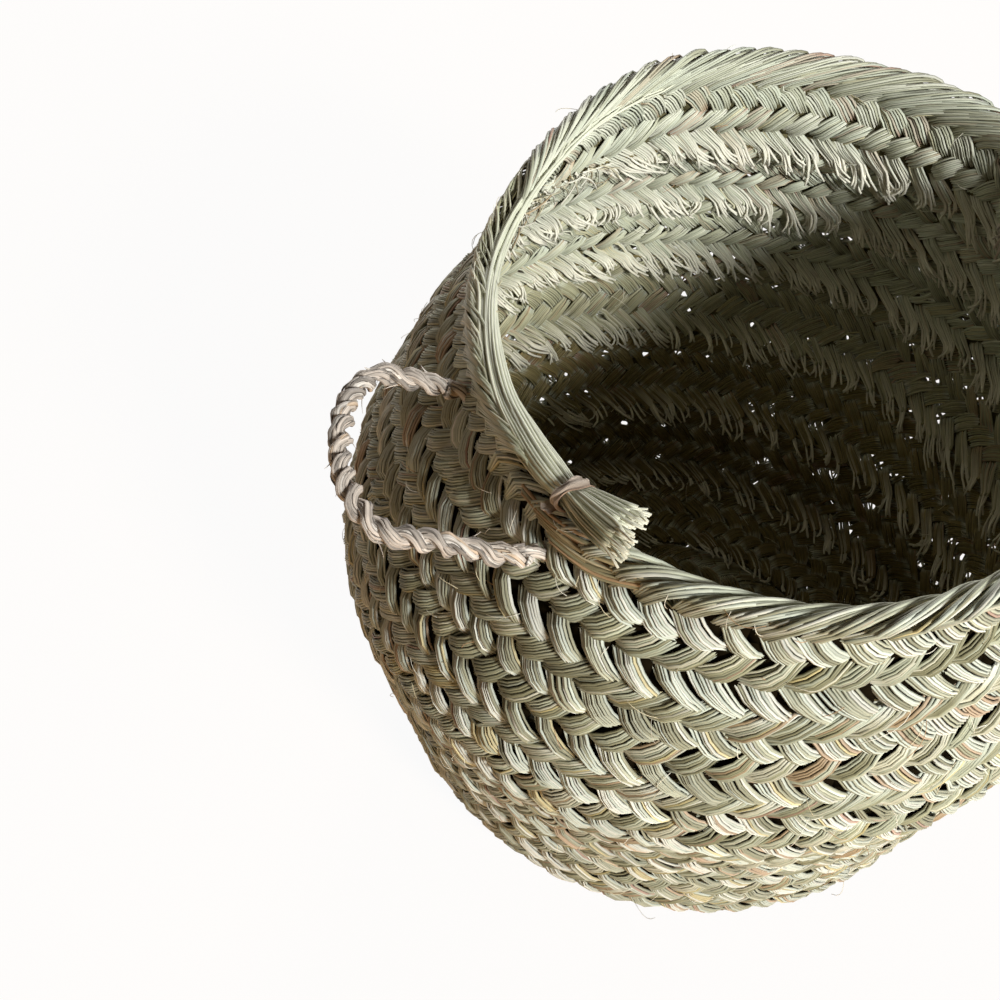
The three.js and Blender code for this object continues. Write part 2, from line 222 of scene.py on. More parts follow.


# Stalks as closed tubes, built together because there are thousands of them. A stalk of four sides is a
# diamond that shows one crest, and its flanks are painted darker, painted shade for where stalks lie side by
# side.
def tubes(path, facing, radius, tint, sides=4, flat=1.0, flank=1.0):
    count, steps = path.shape[:2]
    tangent = unit(np.gradient(path, axis=1))
    across = unit(np.cross(tangent, np.broadcast_to(facing, path.shape)))
    away = np.cross(tangent, across)
    around = 2 * math.pi * np.arange(sides) / sides
    ring = across[:, :, None] * np.cos(around)[:, None] + away[:, :, None] * (np.sin(around)[:, None] * flat)
    co = path[:, :, None] + np.broadcast_to(radius, (count, steps))[..., None, None] * ring
    flank = np.broadcast_to(flank, (count, steps))[..., None]
    # painted shade: the flank vertices are darkened, the crests keep their colour
    shade = flank + (1 - flank) * np.abs(np.sin(around))
    tint = np.broadcast_to(tint, (count, steps, 3))[:, :, None] * shade[..., None]
    first = (np.arange(count) * steps * sides)[:, None, None]
    here = first + (np.arange(steps - 1) * sides)[:, None] + np.arange(sides)
    turned = first + (np.arange(steps - 1) * sides)[:, None] + (np.arange(sides) + 1) % sides
    quads = np.stack([here, turned, turned + sides, here + sides], -1).reshape(-1, 4)
    start = first[:, 0, 0][:, None] + np.arange(sides)[::-1]
    end = first[:, 0, 0][:, None] + (steps - 1) * sides + np.arange(sides)
    run = np.append(np.zeros((count, 1)), np.cumsum(np.linalg.norm(np.diff(path, axis=1), axis=-1), 1), 1)
    run = run + rng.uniform(0, 400, (count, 1))  # so that no two stalks show the same lines
    lot = rng.uniform(0, 40, (count, 1, 1))
    s0 = np.broadcast_to(np.arange(sides) / sides + lot, (count, steps - 1, sides))
    s1 = s0 + 1 / sides
    r0 = np.broadcast_to(run[:, :-1, None], s0.shape)
    r1 = np.broadcast_to(run[:, 1:, None], s0.shape)
    corners = [(r0, s0), (r0, s1), (r1, s1), (r1, s0)]
    uv = np.stack([np.stack(corner, -1) for corner in corners], -2)
    return dict(
        co=co.reshape(-1, 3) * mm, tint=tint.reshape(-1, 3),
        loops=np.concatenate([quads.ravel(), start.ravel(), end.ravel()]),
        sizes=np.concatenate([np.full(len(quads), 4), np.full(2 * count, sides)]),
        uv=np.concatenate([uv.reshape(-1, 2), np.zeros((count * sides * 2, 2))]),
    )


def addTint(mesh, tint):
    layer = mesh.attributes.new("tint", "FLOAT_COLOR", "POINT")
    rgba = np.concatenate([np.clip(tint, 0, 1), np.ones((len(tint), 1))], 1)
    layer.data.foreach_set("color", rgba.astype(np.float32).ravel())


def makePiece(name, parts, finishes, body, nodes):
    base = 0
    lists = dict(co=[], tint=[], loops=[], sizes=[], uv=[])
    for part in parts:
        for label, rows in lists.items():
            rows.append(part[label] + (base if label == "loops" else 0))
        base += len(part["co"])
    co, tint, loops, sizes, uv = [np.concatenate(rows) for rows in lists.values()]
    mesh = bpy.data.meshes.new(name)
    mesh.vertices.add(len(co))
    mesh.vertices.foreach_set("co", co.astype(np.float32).ravel())
    mesh.loops.add(len(loops))
    mesh.loops.foreach_set("vertex_index", loops.astype(np.int32))
    mesh.polygons.add(len(sizes))
    mesh.polygons.foreach_set("loop_start", np.append(0, np.cumsum(sizes)[:-1]).astype(np.int32))
    mesh.polygons.foreach_set("use_smooth", np.ones(len(sizes), bool))
    finish = np.concatenate([np.full(len(part["sizes"]), part.get("finish", 0)) for part in parts])
    mesh.polygons.foreach_set("material_index", finish.astype(np.int32))
    addTint(mesh, tint)
    mesh.uv_layers.new(name="run").data.foreach_set("uv", uv.astype(np.float32).ravel())
    mesh.update(calc_edges=True)
    for material in finishes:
        mesh.materials.append(material)
    piece = bpy.data.objects.new(name, mesh)
    bpy.context.scene.collection.objects.link(piece)
    placePiece(piece, body, nodes)
    print("piece", name, "triangles", int((sizes - 2).sum()))


def placePiece(piece, body, nodes):
    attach(piece, body)
    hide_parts(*nodes)


# Shader groups and materials
def newGroup(name, inputs, outputs):
    group = bpy.data.node_groups.new(name, "ShaderNodeTree")
    for label, kind, value in inputs:
        socket = group.interface.new_socket(name=label, in_out="INPUT", socket_type=kind)
        if value is not None:
            socket.default_value = value
    for label, kind in outputs:
        group.interface.new_socket(name=label, in_out="OUTPUT", socket_type=kind)
    return group, group.nodes.new("NodeGroupInput"), group.nodes.new("NodeGroupOutput")


# One node that works on numbers or vectors, with its inputs linked or set in order
def working(tree, operation, *values, kind="ShaderNodeMath"):
    node = tree.nodes.new(kind)
    node.operation = operation
    sockets = [node.inputs[i] for i in range(len(values))]
    if operation == "SCALE":
        sockets[1] = node.inputs["Scale"]
    for socket, value in zip(sockets, values):
        if isinstance(value, bpy.types.NodeSocket):
            tree.links.new(value, socket)
        else:
            socket.default_value = value
    return node.outputs[0]


# Fine lines along a stalk or leaf strip, with slow changes of tone from end to end
fibre = dict(
    lineScale=1.6, lineDetail=3, lineStretch=0.03, contrast=(0.3, 0.7), smoother=-0.14,
    blotchScale=1.0, blotchDetail=2, blotchStretch=(0.09, 0.4, 1), bumpDistance=0.15,
)


def makeFibreGroup():
    f = fibre
    group, source, result = newGroup(
        "fibreLines",
        [("Colour", "NodeSocketColor", None), ("Run", "NodeSocketVector", None),
         ("Lines", "NodeSocketFloat", 3.0), ("Depth", "NodeSocketFloat", 0.3),
         ("Mottle", "NodeSocketFloat", 0.25), ("Rough", "NodeSocketFloat", 0.5)],
        [("Colour", "NodeSocketColor"), ("Roughness", "NodeSocketFloat"), ("Height", "NodeSocketFloat")])
    link = group.links.new
    depth = source.outputs["Depth"]

    def stretchedNoise(scale, detail, stretch):
        noise = group.nodes.new("ShaderNodeTexNoise")
        noise.inputs["Scale"].default_value = scale
        noise.inputs["Detail"].default_value = detail
        run = working(group, "MULTIPLY", source.outputs["Run"], stretch, kind="ShaderNodeVectorMath")
        link(run, noise.inputs["Vector"])
        return noise.outputs["Fac"]

    stretch = group.nodes.new("ShaderNodeCombineXYZ")
    stretch.inputs["X"].default_value = f["lineStretch"]
    link(source.outputs["Lines"], stretch.inputs["Y"])
    amount = group.nodes.new("ShaderNodeMapRange")
    amount.inputs["From Min"].default_value, amount.inputs["From Max"].default_value = f["contrast"]
    link(stretchedNoise(f["lineScale"], f["lineDetail"], stretch.outputs[0]), amount.inputs["Value"])
    line = amount.outputs["Result"]
    darker = working(group, "MULTIPLY_ADD", line, depth, working(group, "SUBTRACT", 1.0, depth))
    blotch = stretchedNoise(f["blotchScale"], f["blotchDetail"], f["blotchStretch"])
    shift = working(group, "SUBTRACT", blotch, 0.5)
    sway = working(group, "MULTIPLY_ADD", shift, source.outputs["Mottle"], 1.0)
    both = working(group, "MULTIPLY", darker, sway)
    shade = working(group, "SCALE", source.outputs["Colour"], both, kind="ShaderNodeVectorMath")
    rough = working(group, "MULTIPLY_ADD", line, f["smoother"], source.outputs["Rough"])
    link(shade, result.inputs["Colour"])
    link(rough, result.inputs["Roughness"])
    link(line, result.inputs["Height"])
    return group


fibreLines = makeFibreGroup()


def fibreMaterial(name, lines, depth, mottle, rough, specular, bump):
    material = bpy.data.materials.new(name)
    material.use_nodes = True
    n, link = material.node_tree.nodes, material.node_tree.links.new
    shader = n["Principled BSDF"]
    shader.inputs["Specular IOR Level"].default_value = specular
    tint = n.new("ShaderNodeAttribute")
    tint.attribute_name = "tint"
    run = n.new("ShaderNodeUVMap")
    run.uv_map = "run"
    fibres = n.new("ShaderNodeGroup")
    fibres.node_tree = fibreLines
    for label, value in dict(Lines=lines, Depth=depth, Mottle=mottle, Rough=rough).items():
        fibres.inputs[label].default_value = value
    relief = n.new("ShaderNodeBump")
    relief.inputs["Strength"].default_value = bump
    relief.inputs["Distance"].default_value = fibre["bumpDistance"] * mm
    link(tint.outputs["Color"], fibres.inputs["Colour"])
    link(run.outputs["UV"], fibres.inputs["Run"])
    link(fibres.outputs["Colour"], shader.inputs["Base Color"])
    link(fibres.outputs["Roughness"], shader.inputs["Roughness"])
    link(fibres.outputs["Height"], relief.inputs["Height"])
    link(relief.outputs["Normal"], shader.inputs["Normal"])
    return material


# Each with its lines, depth, mottle, roughness, specular level and bump
finishValues = dict(
    espartoGrass=(7, 0.2, 0.5, 0.55, 0.16, 0.5),
    # a dull copy of the grass for the core's painted shade
    grassInShade=(5, 0.5, 0.6, 1.0, 0.02, 0.5),
    grassCord=(9, 0.4, 0.5, 0.75, 0.3, 0.6),
    palmLeaf=(11, 0.5, 0.7, 0.62, 0.2, 0.9),
)
grassFinish, shadeFinish, cordFinish, palmFinish = [
    fibreMaterial(label, *values) for label, values in finishValues.items()]
print("materials ready")

# The weave, a twill over two and under two. A strand runs up from its cut end on the inside, crosses the
# wall at each row mark, folds over the upper edge and comes down again to the seam. Marks are given in cells
# of the span. Strands lie closer at the back of the basket than at its front.
weave = dict(
    pitch=13.5, nearWider=0.09, nearAngle=270, stalks=9, span=58.5, lap=7, cells=18, legPitches=4.5,
    rowMarks=(1, 5, 9, 13, 18), rowSteps=(0, 0.24, 0.5, 0.76), squareness=0.5, innerLift=4, foldFrom=0.45,
    pinchCross=1.08, pinchRow=1.12, pinchStart=0.95, pinchSeam=0.7,
    seamFrom=0.15, seamRun=0.5, seamRise=0.2, tuck=((0, 1, 0.55), (1.4, 0.35, 0.1), (2.2, -0.5, -0.5)),
    baseRelief=0.62, floorClearance=0.15, firstStrand=6, lastStrand=0.8, lastFibre=0.15,
)
crossings = 2 * (len(weave["rowMarks"]) - 1)
legRun = weave["pitch"] * weave["legPitches"]


# The ruler again, with the local width of the strands taken out
def weaveRuler():
    angle = angleAt(rulerTurn)
    local = 1 + weave["nearWider"] * np.cos(angle - math.radians(weave["nearAngle"]))
    steps = np.diff(rulerLength) / ((local[1:] + local[:-1]) / 2)
    return np.append(0, np.cumsum(steps))


weaveLength = weaveRuler()


# Round the rim a strand rolls from the outside to the inside as a thick bundle
wrap = dict(
    run=56, steps=14, skew=0.53, liftPower=0.8, top=54.2, foot=3.2, footRise=(0.4, 0.9),
    pinch=0.84, pinchEnd=1.04, pinchSpeed=1.5, fill=1.12,
    roll=7.0968, crown=2.0, crownMiddle=0.7, stack=0.4, tilt=0.5, uneven=0.5, scallop=1.6,
)


# One strand as samples: run along the plait, height, side of the wall, fullness, the row it is in, its slant
# (1 climbing, -1 falling, 0 where it folds) and how far round the rim it has come
def strandRoute(isRim):
    s, w = weave, wrap
    cell = s["span"] / s["cells"]
    marks = s["rowMarks"]
    topRow = len(marks) - 2
    samples = []
    at = 0.0

    def addRow(index, climbing):
        low, high = marks[index] * cell, marks[index + 1] * cell
        facing = 1 if (index % 2 == 1) == climbing else -1
        rowRun = (high - low) * legRun / s["span"]
        for f in s["rowSteps"]:
            done = f if climbing else 1 - f
            bend = math.sin(math.pi * f)
            bow = facing * bend
            swell = bend ** s["squareness"] if f else 0
            pinch = between(s["pinchCross"], s["pinchRow"], bend)
            slant = 1 if climbing else -1
            if index == 0 and climbing:  # the cut end stays on the inside
                bow = -math.cos(math.pi * f / 2)
                swell = (-bow) ** s["squareness"]
                pinch = between(s["pinchStart"], s["pinchRow"], f)
            elif index == 0:  # the outer end goes down to the seam
                bow = math.sin(math.pi * min(f, 0.5))
                swell = math.sin(math.pi * (s["seamFrom"] + s["seamRun"] * f)) ** s["squareness"]
                swell *= min(1, f / s["seamRise"])
                pinch = between(s["pinchCross"], s["pinchSeam"], f)
            elif index == 2 and climbing and isRim:
                pinch *= w["fill"]
            lift = s["innerLift"] * (1 - bow) / 2  # the rows lie higher on the inside
            if index == topRow:
                slant *= 1 - smooth(s["foldFrom"], 1, done)
                lift *= 1 - done
            row = index + f if climbing else crossings - index - 1 + f
            height = between(low, high, done) - s["lap"] + lift
            samples.append((at + f * rowRun, height, facing * swell, pinch, row, slant, -1))
        return at + rowRun

    rows = range(topRow if isRim else topRow + 1)
    for index in rows:
        at = addRow(index, True)
    if isRim:
        bottom = marks[topRow] * cell - s["lap"]
        for k in range(w["steps"]):
            g = k / w["steps"]
            q = g ** w["skew"]
            foot = bottom + w["foot"] * smooth(*w["footRise"], q)
            lift = math.sin(math.pi * q) ** w["liftPower"] if k else 0
            pinch = between(w["pinch"], w["pinchEnd"], math.sin(math.pi / 2 * min(1, w["pinchSpeed"] * q)))
            slant = math.cos(math.pi * q) * abs(math.cos(math.pi * q))
            height = between(foot, w["top"], lift)
            samples.append((at + g * w["run"], height, 0, pinch, topRow + 2 * q, slant, q))
        at += w["run"]
    for index in reversed(rows):
        at = addRow(index, False)
    for ahead, height, side in s["tuck"]:  # the outer end tucks in
        samples.append((at + ahead, height * cell - s["lap"], side, s["pinchSeam"], crossings, -1, -1))
    return np.array(samples, float).T


# Random values for each row of each strand, eased from row to row
def easedRandom(shape, row, amount):
    weights = np.maximum(0, 1 - np.abs(row[:, None] - np.arange(crossings + 1)))
    return amount * rng.standard_normal(shape + (crossings + 1,)) @ weights.T


# Small openings, where the stalks of both faces part and light comes through
opening = dict(
    courses=(3, 4, 5, 6), perPiece=38, rows=(11, 24, 37), stray=1.6,
    size=(1.5, 2.6), reach=3.4, width=3, legAngle=44,
)


def pickOpenings(start, end):
    s = opening
    count = s["perPiece"]
    at = rng.uniform(start, end, count)
    up = rng.choice(s["rows"], count) + rng.normal(0, s["stray"], count)
    return np.stack([at, up, rng.uniform(*s["size"], count)], -1)


def parted(length, height, slant, openings):
    steep = math.radians(opening["legAngle"])
    cosine, sine = math.cos(steep), math.sin(steep) * slant
    for at, up, size in openings:
        ahead, above = length - at, height - up
        across = above * cosine - ahead * sine
        along = ahead * cosine + above * sine
        near = np.exp(-(along / opening["reach"]) ** 2) * np.abs(slant)
        push = np.sign(across) * size * near * np.maximum(0, 1 - np.abs(across) / (opening["width"] * size))
        length, height = length - push * sine, height + push * cosine
    return length, height


# The cut ends on the inside, most of them long enough to hang over the seam
cutEnd = dict(
    steps=(1.0, 0.7, 0.42, 0.18), share=0.92, longest=20, uneven=0.5, shortest=0.62, stub=1.8,
    stalkLean=0.21, strandLean=0.294, stalkCurl=0.3, strandCurl=0.35, standing=(0.1, 0.42), standPower=1.3,
    alongShare=0.6, downShare=0.8, leanLoss=0.25, tuckIn=1.2,
)


def cutEnds(length, height, out, full):
    s = cutEnd
    steps = np.array(s["steps"])
    count, stalks = length.shape[:2]
    isLong = rng.random((count, stalks)) < s["share"] * full
    longest = s["longest"] * rng.uniform(s["uneven"], 1, (count, 1))
    reach = np.where(isLong, longest * rng.uniform(s["shortest"], 1, (count, stalks)), s["stub"])[..., None]
    lean = rng.normal(0, s["stalkLean"], (count, stalks, 1)) + rng.normal(0, s["strandLean"], (count, 1, 1))
    inward = rng.uniform(*s["standing"], (count, stalks, 1))
    curl = rng.normal(0, s["stalkCurl"], (count, stalks, 1)) + rng.normal(0, s["strandCurl"], (count, 1, 1))
    along = (lean * steps ** 2 + curl * steps ** 3 - steps) * s["alongShare"]
    down = steps * (s["downShare"] - s["leanLoss"] * np.abs(lean) * steps)
    endOut = out[..., :1] - s["tuckIn"] * steps - inward * reach * steps ** s["standPower"]
    length = np.concatenate([length[..., :1] + along * reach, length], -1)
    height = np.concatenate([height[..., :1] - down * reach, height], -1)
    return length, height, np.concatenate([endOut, out], -1), isLong


# Where the plait narrows, its lowest rows give out one after another, and their stalks lie flat on each other
taper = dict(floor=-20, clamp=-3, within=8, follow=0.92, flattened=9, heartRelief=0.35, least=0.6)


def laidOnWall(length, height, out, relief):
    s, full = taper, wallShape["plaitWidth"]
    turn = np.interp(length, weaveLength, rulerTurn)
    lower, width = plaitAt(turn)
    room = np.minimum(upperArc(turn) - lowerArc(turn), full)
    shrink = room / full  # under 1 only in the heart
    drop = np.maximum(room - width, 0)
    lowest = between(s["floor"], s["clamp"], smooth(0, s["within"], drop))
    below = np.maximum(lowest - (height * shrink - drop), 0)
    arc = np.maximum(lower + height * shrink - drop + below * s["follow"], s["least"])
    relief = relief * between(s["heartRelief"], 1, shrink)
    return arc, angleAt(turn), out * relief * np.exp(-below / s["flattened"])


# Half of the stalks take their strand's tone. On the outside the climbing legs are painted darker and
# browner, painted shade, and the falling legs a touch paler, painted light; the inside is paler and takes its
# course's painted shade, and the cut ends are bleached.
stalkTone = dict(
    spread=0.09, strandSpread=0.05, ownShare=0.5, innerPale=0.5, innerDepth=-1.5, outerDepth=(-0.5, 1),
    climbPaintedShade=(0.74, 0.73, 0.64), fallPaintedLight=(1.0, 1.02, 1.06), climbFrom=-0.3,
    bleachSteps=(0, 3, 8), bleach=(1, 0.9, 0), bleachSpread=(0.7, 1),
)


def stalkTints(out, slant, isLong, paintedInnerShade):
    s = stalkTone
    count, stalks, samples = out.shape
    tint = pickTones(grassTones, (count, stalks), s["spread"])
    tint = tint * uneven(s["spread"], (count, 1, 1))
    strandTint = pickTones(grassTones, (count, 1), s["strandSpread"])
    tint = np.where(rng.random((count, stalks, 1)) < s["ownShare"], strandTint, tint)
    tint = np.repeat(tint[:, :, None], samples, 2)
    inner = smooth(0, s["innerDepth"], out)[..., None]
    tint = between(tint, linear(bundleTone), s["innerPale"] * inner)
    # painted shade on the inside of the lower courses
    tint = tint * between(1, np.array(paintedInnerShade), inner)
    # painted shade on the outer climbing legs, painted light on the outer falling legs
    climb = smooth(s["climbFrom"], 1, np.append(np.ones(samples - len(slant)), slant))[:, None]
    paintedLegLight = between(np.array(s["fallPaintedLight"]), np.array(s["climbPaintedShade"]), climb)
    tint = tint * between(1, paintedLegLight, smooth(*s["outerDepth"], out)[..., None])
    fade = np.interp(np.arange(samples), s["bleachSteps"], s["bleach"])
    cream = isLong[..., None] * fade * rng.uniform(*s["bleachSpread"], (count, stalks, 1))
    return between(tint, linear(creamTone), cream[..., None]), cream


# How full and how uneven the strands are. A few are drawn thin where they cross the wall.
strand = dict(
    swell=0.11, sway=0.5, lift=0.3, tilt=0.5, stalkSway=0.28, stalkLift=0.24,
    thinShare=0.1, thin=0.42, thinRun=1.6,
    rowDepth=1.95, rowUneven=0.12, crown=1.4, innerFlat=0.45, lowerDepth=1.3, upperDepth=0.82,
    stacking=1.28, stackUnder=0.85, scallop=1.0,
    # the flank factors are painted shade on the stalks' sides, weaker at the bleached cut ends
    stalkRadius=0.72, radiusSpread=0.1, endRadius=0.8, flank=0.46, endPaintedFlankShade=0.9,
)


def weaveStrands(starts, isRim, relief, full, openings, paintedInnerShade):
    s, w = strand, wrap
    run, up, side, pinch, row, slant, rolling = strandRoute(isRim)
    count, stalks = len(starts), weave["stalks"]
    each, single = (count, 1), (count, stalks)
    place = np.linspace(-1, 1, stalks)[:, None]
    half = weave["pitch"] / 2 * (stalks - 1) / stalks
    swell = 1 + easedRandom(each, row, s["swell"])
    crossing = np.maximum(0, 1 - s["thinRun"] * np.abs(row[:, None] - np.arange(crossings + 1)))
    isThin = rng.random((*each, crossings + 1)) < s["thinShare"]
    swell = pinch * (swell - s["thin"] * isThin @ crossing.T)
    shift = place * half * swell
    sway = easedRandom(each, row, s["sway"]) + easedRandom(single, row, s["stalkSway"])
    depth = between(s["lowerDepth"], s["upperDepth"], (up + weave["lap"]) / weave["span"])
    crown = s["crown"] * (1 - place ** 2) * np.where(side < 0, s["innerFlat"], 1.0)
    out = side * depth * (s["rowDepth"] * (1 + easedRandom(each, row, s["rowUneven"])) + crown)
    out = out + easedRandom(each, row, s["lift"]) + easedRandom(each, row, s["tilt"]) * place
    out = out + easedRandom(single, row, s["stalkLift"])
    layer = np.where(np.arange(stalks) % 2, 1.0, -1.0)[:, None]
    out = out + layer * s["stacking"] * np.maximum(0, s["stackUnder"] - swell)
    rolled = np.where(rolling >= 0, 1.0, 0.0)
    turned = math.pi * np.maximum(rolling, 0)
    arch = np.sqrt(np.maximum(np.sin(turned), 0))
    domed = w["crown"] * (w["crownMiddle"] - place ** 2) + layer * w["stack"]
    thick = (domed + w["tilt"] * place + rng.normal(0, w["uneven"], (*each, 1))) * arch
    out = out + rolled * np.cos(turned) * (w["roll"] * arch + thick)
    fold = (1 - rolled) * np.maximum(0, 1 - np.abs(row - crossings / 2))
    scallop = rolled * w["scallop"] * np.sin(turned) + fold * s["scallop"]
    lift = rolled * thick * np.sin(turned) - scallop * place ** 2
    length = starts[:, None, None] + run + shift * (1 - np.abs(slant) / 2) + sway
    height = up - shift * slant * weave["span"] / legRun / 2 + lift
    length, height = parted(length, height, slant, openings)
    length, height, out, isLong = cutEnds(length, height, out, full)
    arc, angle, out = laidOnWall(length, height, out, relief)
    path = onWall(arc, angle, out)
    tint, cream = stalkTints(out, slant, isLong, paintedInnerShade)
    radius = s["stalkRadius"] * uneven(s["radiusSpread"], (*single, 1)) * np.ones(path.shape[2])
    radius[..., 0] *= s["endRadius"]
    path[..., 2] = np.maximum(path[..., 2], radius + weave["floorClearance"])
    # less painted shade on the flanks where the cut ends are bleached
    flank = between(s["flank"], s["endPaintedFlankShade"], cream)
    lists = (path, outOfWall(arc, angle), radius, tint, flank)
    path, facing, radius, tint, flank = [rows.reshape(count * stalks, *rows.shape[2:]) for rows in lists]
    return tubes(path, facing, radius, tint, flank=flank)


# The hidden middle of the plait, where the strands lie too close for light to pass. It is laid in thin tiles
# painted dark, painted shade behind the strands, and the few that are left out let the light through as
# specks.
core = dict(
    heights=(-4, 3, 10, 17, 24, 31, 38, 45, 51), topInset=2.5, lowest=0.3, shortest=0.5,
    columns=64, thickness=0.5, holes=0.08,
)


def plaitCore(first, last, relief, openings):
    c = core
    edges = np.linspace(first, last, c["columns"] + 1)
    turn = np.stack([edges[:-1], edges[1:]], -1)[:, None, :, None, None]
    lower, width = plaitAt(turn)
    marks = np.array(c["heights"], float)
    up = np.stack([marks[:-1], marks[1:]], -1)[None, :, None, :, None]
    up = np.minimum(up, width - c["topInset"])
    out = np.array([-0.5, 0.5]) * c["thickness"] * relief
    arc, angle, out = np.broadcast_arrays(np.maximum(lower + up, c["lowest"]), angleAt(turn), out)
    co = onWall(arc, angle, out)
    co[..., 2] = np.maximum(co[..., 2], weave["floorClearance"])
    tall = (up[:, :, :, 1] - up[:, :, :, 0]).min(axis=(2, 3)) > c["shortest"]
    kept = (rng.random(co.shape[:2]) > c["holes"]) & tall
    ends = np.interp(edges, rulerTurn, weaveLength)
    for at, height, size in openings:
        column = (ends[:-1] < at + size) & (ends[1:] > at - size)
        rows = (marks[:-1] < height + size) & (marks[1:] > height - size)
        kept &= ~(column[:, None] & rows)
    # painted shade: olive on each tile's inner face, near black on its outer face
    tint = np.where((out[kept] < 0).reshape(-1, 1), linear(shadeTone), linear(paintedShadowTone))
    box = np.array([(1, 5, 7, 3), (0, 2, 6, 4), (2, 3, 7, 6), (0, 4, 5, 1), (4, 6, 7, 5), (0, 1, 3, 2)])
    loops = (np.arange(kept.sum())[:, None, None] * 8 + box).ravel()
    return dict(
        co=co[kept].reshape(-1, 3) * mm, tint=tint, loops=loops,
        sizes=np.full(len(loops) // 4, 4), uv=np.zeros((len(loops), 2)), finish=1,
    )


# Fine loose fibres that stand off the weave
whiskers = dict(
    perCourse=46, radius=0.14, shortest=4, longest=15, steps=6, rows=(0.02, 0.3, 0.5, 0.75, 0.98),
    outerShare=0.72, standOff=3.2, stand=(0.06, 0.45), standTurn=2.4, curl=0.45,
    tones=[(creamTone, 3), ((226, 214, 180), 2), ((200, 160, 120), 1)],
)


def looseFibres(first, last):
    s = whiskers
    count = s["perCourse"]
    turn = rng.uniform(first, last, count)
    lower, width = plaitAt(turn)
    angle = angleAt(turn)
    arc = lower + width * rng.choice(s["rows"], count)
    facing = np.where(rng.random(count) < s["outerShare"], 1.0, -1.0)
    start = onWall(arc, angle, facing * s["standOff"])
    out = outOfWall(arc, angle) * facing[:, None]
    along = np.stack([-np.sin(angle), np.cos(angle), np.zeros(count)], -1)
    rise = np.cross(out, along) * facing[:, None]
    spin = rng.uniform(0, 2 * math.pi, count)
    lean, bend = turnedTo(spin, along, rise), turnedTo(spin, rise, -along)
    reach = rng.uniform(s["shortest"], s["longest"], (count, 1, 1))
    t = np.linspace(0, 1, s["steps"])[None, :, None]
    stand = rng.uniform(*s["stand"], (count, 1, 1)) * np.sin(t * s["standTurn"])
    curl = rng.normal(0, s["curl"], (count, 1, 1)) * t ** 2
    path = start[:, None] + reach * (t * lean[:, None] + stand * out[:, None] + curl * bend[:, None])
    path[..., 2] = np.maximum(path[..., 2], weave["floorClearance"] + s["radius"])
    return tubes(path, out[:, None], s["radius"], pickTones(s["tones"], (count, 1), 0.06), 3)


# The inside is painted darker and browner towards the base, painted shade for the dim lower inside, and has
# fewer loose ends there
looseShares = [0.3, 0.3, 0.35, 0.4, 0.5, 0.65, 1, 1, 1]
paintedInnerShades = ([(0.32, 0.24, 0.12)] * 4 + [(0.44, 0.35, 0.2), (0.7, 0.65, 0.53), (0.9, 0.89, 0.84)]
              + [(1, 1, 1)] * 2)


def weaveCourse(index):
    s = weave
    name = courseNames[index]
    isRim = name == "rim_course"
    relief = s["baseRelief"] if index < 2 else 1.0
    start, end = np.interp([joins[index] - 1, joins[index]], rulerTurn, weaveLength)
    topShare = 1 - s["rowMarks"][-2] / s["cells"]  # the wrap takes the place of the row at the upper edge
    strandRun = 2 * legRun + (wrap["run"] - 2 * legRun * topShare if isRim else 0)
    marks = np.arange(math.ceil(start / s["pitch"]), math.ceil(end / s["pitch"])) * s["pitch"]
    sides = ["Front", "Back"] if index else [""]
    edges = np.linspace(start, end, len(sides) + 1)
    label = name.title().replace("_", "")
    for side, low, high in zip(sides, edges[:-1], edges[1:]):
        mine = marks[(marks >= low) & (marks < high)] + legRun - strandRun  # the outer legs follow on evenly
        if isRim:  # past here the plait has become the bundle
            stop = np.interp(turns - 1 + s["lastStrand"], rulerTurn, weaveLength)
            mine = mine[mine + strandRun - legRun < stop]
        mine = mine[mine > s["firstStrand"] - legRun]
        first, last = np.interp([low, high], weaveLength, rulerTurn)
        openings = pickOpenings(low, high) if index in opening["courses"] else []
        groups = [weaveStrands(mine, isRim, relief, looseShares[index], openings, paintedInnerShades[index]),
                  plaitCore(first, last, relief, openings)]
        if index > 1:
            groups.append(looseFibres(first, min(last, turns - s["lastFibre"])))
        if isRim and side == sides[-1]:
            groups.extend([rimBundle(), rimStarters(), rimFringe()])
        makePiece(label[0].lower() + label[1:] + side, groups, [grassFinish, shadeFinish],
                  "basket_body", [name])


# Closed tubes that follow the wall, with painted shade on their flanks
def stalksOnWall(arc, turn, out, radius, tint, flank=1.0):
    angle = angleAt(turn)
    return tubes(onWall(arc, angle, out), outOfWall(arc, angle), radius, tint, flank=flank)


# The bundle of stalks along the left of the rim, and the brush of loose ends beyond the tie. Strand after
# strand of the narrowing plait comes up on the outside, rolls over and runs along in the bundle to its end.
bundle = dict(
    startFrom=0.61, startTo=0.955, startUneven=0.4, perStrand=7, halfStrand=3.4,
    radius=0.66, radiusSpread=0.14, flank=0.62, climbRun=58, climbShare=0.8, gatherFrom=0.4, climbed=0.7,
    climbSteps=(-0.13, -0.04, 0.05, 0.15, 0.26, 0.37, 0.5, 0.65, 0.82, 1), runs=30,
    foot=18, footEnd=1, footSpread=3, footOut=3.0, footRise=(-0.13, 0.02), bulge=2.6,
    inward=2.2, halfHigh=5.9, halfThick=5.7, goldenAngle=2.39996, twist=7.8, twistMiddle=0.8,
    fill=(0.75, 0.65, 0.25), sway=0.6, swayRate=(20, 60), swayOut=0.7,
    squeeze=0.72, squeezeRun=9, squeezeAt=0.3,
    tail=34, tailShare=0.62, tailReach=(0.78, 1.05), tailHidden=0.02, tailSteps=9,
    tailHeight=16, tailSpread=23, tailRise=7, tailDrift=1, tailSwell=0.82,
    tailCurl=20, curlFrom=0.7, curlOut=0.8,
    outerPaintedShade=(0.8, 0.77, 0.64), pale=0.85, paintedLightDepth=(3.2, 0.4), endPale=0.45,
)


